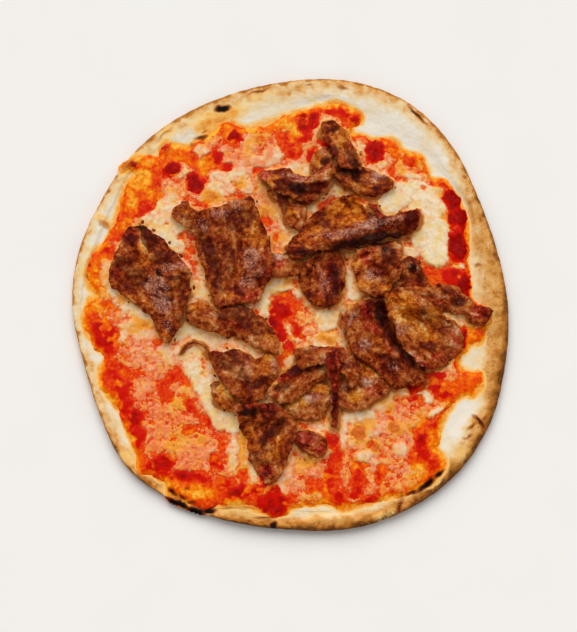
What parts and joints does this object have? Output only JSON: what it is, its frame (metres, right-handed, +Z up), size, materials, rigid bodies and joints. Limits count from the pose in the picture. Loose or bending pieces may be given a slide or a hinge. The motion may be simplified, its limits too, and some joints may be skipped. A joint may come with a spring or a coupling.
{
  "type": "kebab pizza",
  "caption": "Thin round pizza with a low uneven rim, tomato sauce, melted cheese and shaved slices of kebab meat.",
  "frame": {"origin": "on the surface that the pizza stands on, under the middle of its outline", "axes": "+Z up through the pizza; +Y to the far side of the pizza as the picture shows it, +X to the right"},
  "size_m": [0.3014, 0.318, 0.0235],
  "materials": {
    "crust": "baked dough, floury cream inside and toasted brown at the edge",
    "sauce": "wet tomato sauce, deep red to orange",
    "cheese": "melted cheese, cream with toasted spots",
    "meat": "seared shaved meat, brown and slightly oily"
  },
  "bodies": {
    "root": {"crust": "crust", "sauce": "sauce", "cheese": "cheese", "meat_scrap": "meat", "meat_link": "meat", "meat_tongue": "meat", "meat_purple": "meat", "meat_hem": "meat", "meat_knuckle": "meat", "meat_fringe": "meat", "meat_pale": "meat", "meat_hinge": "meat", "meat_arm": "meat", "meat_lower": "meat", "meat_strip": "meat", "meat_leaf": "meat", "meat_broad": "meat", "meat_foot": "meat", "meat_lobe": "meat", "meat_tuck": "meat", "meat_crown": "meat", "meat_shelf": "meat", "meat_button": "meat", "meat_under": "meat", "meat_band": "meat", "meat_bridge": "meat", "meat_fold": "meat", "meat_shoulder": "meat", "meat_ridge": "meat", "meat_splinter": "meat", "meat_flake": "meat", "meat_curl": "meat"}
  },
  "joints": []
}
